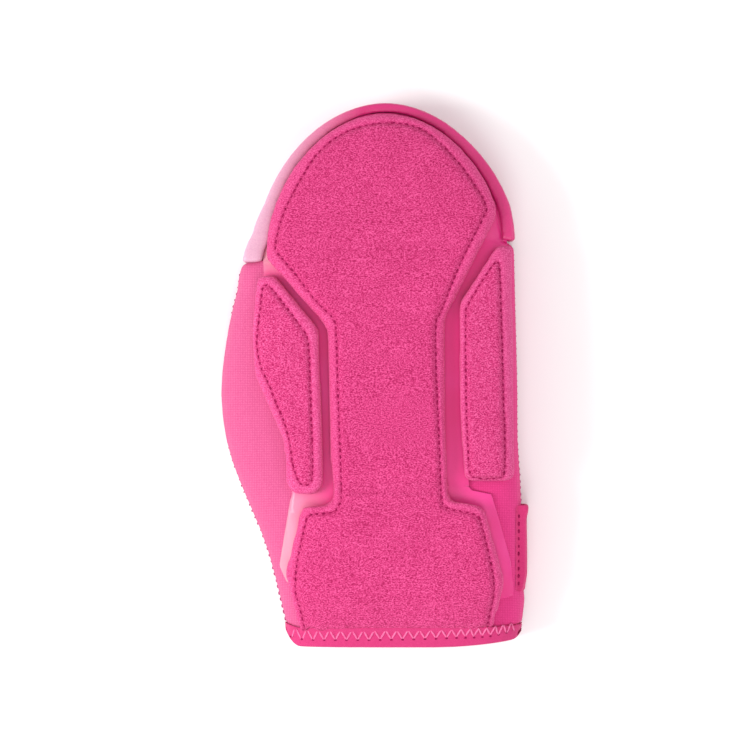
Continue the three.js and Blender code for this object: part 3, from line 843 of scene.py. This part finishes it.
guard = plain_cloth("finger_guard", "guard_band", 0.9 * MM, 3, guard_skin)
points = points_of(guard.data).astype(float)
normals = points_of(guard.data, normals=True).astype(float)
across, down = pixels_of(points)
outwards = outward_from_axis(points)
inner = np.clip(-(normals[:, :2] * outwards).sum(axis=1) + 0.35, 0, 1)
on_left = across < AXIS_PIXEL
leg_lean = np.where(on_left, LEFT_LEAN, RIGHT_LEAN)
lean = GUARD_LEAN + (leg_lean - GUARD_LEAN) * ease(*LEAN_ROWS, down)
rim = ease(*(guard_high.z - below for below in RIM_BELOW_TOP), points[:, 2])
inward = lean * inner * rim
points[:, :2] -= outwards * inward[:, None]
points[:, 1] -= LEFT_END_LONGER * PIXEL * (ease(*LEFT_END_ROWS, down) * on_left)
points[:, 0] += np.interp(down, *LEFT_LEG) * PIXEL * on_left * (1 - INNER_SHARE * inner)
points[:, 0] += np.interp(down, *RIGHT_LEG) * PIXEL * (across > AXIS_PIXEL)
move_points(guard.data, points)
# Painted highlight: the guard turns pale towards the thumb side, where the left lamp glints on it.
paint_highlight(guard, 1 - np.clip((pixels_of(points)[0] - GUARD_HIGHLIGHT_EDGE) / GUARD_HIGHLIGHT_SPAN, 0, 1))
apply_modifier(guard, "SMOOTH", factor=0.4, iterations=2)
print("the guard's rim moved in by up to", round(float(inward.max()) / MM, 2), "mm")

# %% [markdown]
# ## Hem and strap
# The hem binds the wrist opening: it is a folded strip of stretch knit, a little raised where it laps over the
# pile. Each row of its outer wall is stretched to the width that the photograph shows. The strap leaves the
# right side and runs under the palm. Its near edge is sewn down flat on the sleeve, and its upper corner
# stands out a little.

# %% Wrist hem
HEM_SIDES = (284.0, 522.5)
HEM_LAP = 2.0 * MM
HEM_SWELL = 0.25 * MM
HEM_MIDDLE = 14 * MM
LAP_ROWS = (627, 634)
LAP_HEIGHT = (20 * MM, 27 * MM)
LAP_SIDES = ((296, 306), (486, 496))
SIDE_LAP_ROWS = (626, 633)
SIDE_LAP_SIDES = ((290, 306), (486, 502))
LAP_ALONG = 1.0 * MM
SIDE_LAP_ALONG = 1.3 * MM
hem = plain_cloth("wrist_hem", "hem_binding", 0.8 * MM, 3, hem_knit)
points = points_of(hem.data).astype(float)
across, down = pixels_of(points)
ring = points_of(hem.data, normals=True).astype(float)
from_middle = points - np.array([AXIS_X, 0, HEM_MIDDLE])
from_middle[:, 1] = 0
from_middle /= np.linalg.norm(from_middle, axis=1, keepdims=True)
outside = np.clip(0.5 + (ring * from_middle).sum(axis=1), 0, 1)
rows = np.round(down * 2).astype(int)
for row in np.unique(rows):
    here = rows == row
    for side, edge in zip((across[here].min(), across[here].max()), HEM_SIDES):
        grown = (edge - AXIS_PIXEL) / (side - AXIS_PIXEL)
        part = here & ((across - AXIS_PIXEL) * (edge - AXIS_PIXEL) > 0)
        points[part, 0] += (points[part, 0] - AXIS_X) * (grown - 1) * outside[part]
lap = (1 - ease(*LAP_ROWS, down)) * ease(*LAP_HEIGHT, points[:, 2])
lap *= window(*LAP_SIDES, across)
side_lap = (1 - ease(*SIDE_LAP_ROWS, down)) * (1 - window(*SIDE_LAP_SIDES, across))
points += ring * (HEM_SWELL * side_lap)[:, None]
points[:, 2] += HEM_LAP * lap
points[:, 1] += LAP_ALONG * lap + SIDE_LAP_ALONG * side_lap
round_wrist(points)
move_points(hem.data, points)
apply_modifier(hem, "SMOOTH", factor=0.5, iterations=3)
print("the hem is", round(float(np.ptp(pixels_of(points_of(hem.data))[0])), 1), "pixels wide")

# %% Wrist strap
STRAP_SEAM = 517.5
STRAP_STEP = 0.12 * MM
STRAP_FALL = 0.35 * MM
STRAP_TOP_FROM = 15 * MM
STRAP_OUT = 1.1 * MM
STRAP_OUTER_EDGE = (519, 525)
STRAP_TOP_ROWS = (508, 520)
STRAP_LOW_ROWS = (572, 591)
strap = plain_cloth("wrist_strap", "strap_band", 1.0 * MM, 4, strap_knit)
points = points_of(strap.data).astype(float)
across, down = pixels_of(points)
on_sleeve = surface_of(sleeve)[0]
for point, place in zip(points, across):
    x = min(point[0], place_of((STRAP_SEAM, 0)).x)
    below = on_sleeve.ray_cast(Vector((x, point[1], RAY_START)), DOWNWARDS)[0]
    if point[2] > STRAP_TOP_FROM and below is not None:
        fall = STRAP_FALL * (max(place - STRAP_SEAM, 0) / 5) ** 2
        point[2] = min(point[2], below.z + STRAP_STEP - fall)
points[:, 0] += STRAP_OUT * ease(*STRAP_OUTER_EDGE, across) * (1 - ease(*STRAP_TOP_ROWS, down))
points[:, 0] -= STRAP_OUT * ease(*STRAP_OUTER_EDGE, across) * ease(*STRAP_LOW_ROWS, down)
move_points(strap.data, points)
print("the strap's highest point is at", round(float(points[:, 2].max()) / MM, 2), "mm")

# %% [markdown]
# ## Sewing
# The pads' stitches sit deep in their groove, and their thread is coloured dark as painted shade. The hem has a zigzag
# of paler thread, and a dark bead of painted shade stands for the hole at each low corner. The strap has one row of
# stitches where it is sewn down.

# %% Pad stitches
PAD_PITCH = 3.5 * MM
PAD_STITCH = (1.05 * MM, 0.6 * MM, 0.45 * MM)
PAD_SINK = 0.1 * MM
# The pads' stitch thread is darkened as painted shade of the groove.
for pad, line, name in (
    (shield, shield_line, "shield_stitches"),
    (thumb_pad, thumb_line, "thumb_stitches"),
    (outer_pad, outer_line, "outer_stitches"),
):
    beads = stitches_along(surface_of(pad), line, PAD_PITCH, PAD_STITCH, PAD_SINK)
    sew(name, beads, thread_and_painted_shade)

# %% Hem zigzag
HEM_TOP_ROW = [(287, 629), (340, 629), (400, 628.5), (450, 627.5), (505, 624), (519, 621)]
HEM_LOW_ROW = [(289, 637), (305, 639.5), (340, 639.5), (400, 639), (450, 637.5), (488, 636), (517, 630)]
ZIGZAG_FIRST = 290.0
ZIGZAG_LAST = 518
ZIGZAG_PITCH = 5.6
ZIGZAG_CLOSER = 1.5
CLOSER_FROM = (420, 480)
STRAND_WIDTH = (0.55 * MM, 0.45 * MM)
STRAND_LENGTH = 0.55
STRAND_LIFT = 0.1
HOLE_SHADE = (0.75 * MM, 0.55 * MM, 0.3 * MM)
top_row = curve_through([place_of(pixel) for pixel in HEM_TOP_ROW], LINE_STEP, False)
low_row = curve_through([place_of(pixel) for pixel in HEM_LOW_ROW], LINE_STEP, False)
corners, step = [], ZIGZAG_FIRST
while step < ZIGZAG_LAST:
    row = top_row if len(corners) % 2 else low_row
    x = place_of((step, 0)).x
    corners.append(np.array([x, np.interp(x, row[:, 0], row[:, 1])]))
    step += ZIGZAG_PITCH - ZIGZAG_CLOSER * float(ease(*CLOSER_FROM, step))
hem_surface = surface_of(hem)
strands, hole_shades = [], []
for number, (start, end) in enumerate(zip(corners, corners[1:])):
    middle = (start + end) / 2
    hit = touch_down(hem_surface, middle[0], middle[1])
    direction = Vector((end[0] - start[0], end[1] - start[1], 0))
    if hit is not None:
        size = (direction.length * STRAND_LENGTH, *STRAND_WIDTH)
        strands.append((hit[0] + hit[1] * STRAND_LIFT * MM, direction, hit[1], size))
    # Painted shade: a dark bead stands for the hole at each low corner.
    low = touch_down(hem_surface, start[0], start[1])
    if low is not None and number % 2 == 0:
        hole_shades.append((low[0], Vector((1, 0, 0)), low[1], HOLE_SHADE))
sew("hem_zigzag", strands, pale_thread)
sew("hem_hole_shades", hole_shades, thread_and_painted_shade)

# %% Strap row
STRAP_ROW = [(518.4, 512), (518.3, 550), (518.3, 588)]
STRAP_PITCH = 3.9 * MM
strap_line = curve_through([place_of(pixel) for pixel in STRAP_ROW], LINE_STEP, False)
beads = stitches_along(surface_of(strap, sleeve), strap_line, STRAP_PITCH, PAD_STITCH, 0.0)
sew("strap_stitches", beads, thread_and_painted_shade)

# %% [markdown]
# ## Overlock seam
# An overlock closes the side seams. From above, only its loops show, as small dark knots on the outline. Each
# row looks up how far out the sleeve reaches there and lays one loop on that edge, a little aslant. The loops
# grow towards the wrist.

# %% Overlock loops
SEAM_LOW = 4 * MM
SEAM_HIGH = 12 * MM
LOOP_PITCH = 3.3 * MM
LOOP_SIZE = (0.95 * MM, 0.5 * MM, 0.55 * MM)
LOOP_SINK = 0.35
LOOP_ASLANT = 0.5
ROW_REACH = 1.5 * MM
sleeve_points = points_of(sleeve.data)
at_seam = sleeve_points[(sleeve_points[:, 2] > SEAM_LOW) & (sleeve_points[:, 2] < SEAM_HIGH)]


def overlock(name, side, first, last, small, large):
    low, high = place_of((0, last)).y, place_of((0, first)).y
    rows = np.arange(low, high, LOOP_PITCH)
    reach = []
    for y in rows:
        near = at_seam[np.abs(at_seam[:, 1] - y) < ROW_REACH]
        reach.append(near[(side * near[:, 0]).argmax()])
    loops = []
    for number, edge in enumerate(reach):
        grown = small + (large - small) * (1 - number / len(reach)) ** 2
        normal = Vector((side, 0, 0.6)).normalized()
        slant = Vector((0.35 * side, 1, LOOP_ASLANT if number % 2 else -LOOP_ASLANT))
        centre = Vector((edge[0], rows[number], edge[2])) - normal * LOOP_SINK * MM
        loops.append((centre, slant, normal, tuple(length * grown for length in LOOP_SIZE)))
    sew(name, loops, plum_thread)


overlock("left_overlock", -1, 440, 626, 0.55, 1.5)
overlock("upper_overlock", -1, 270, 312, 0.8, 0.8)
overlock("right_overlock", 1, 247, 501, 0.9, 1.3)

# %% Print sizes and finish
size = {"cad": CAD_BOX, "scene": [list(corner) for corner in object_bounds()]}
print("box", size)
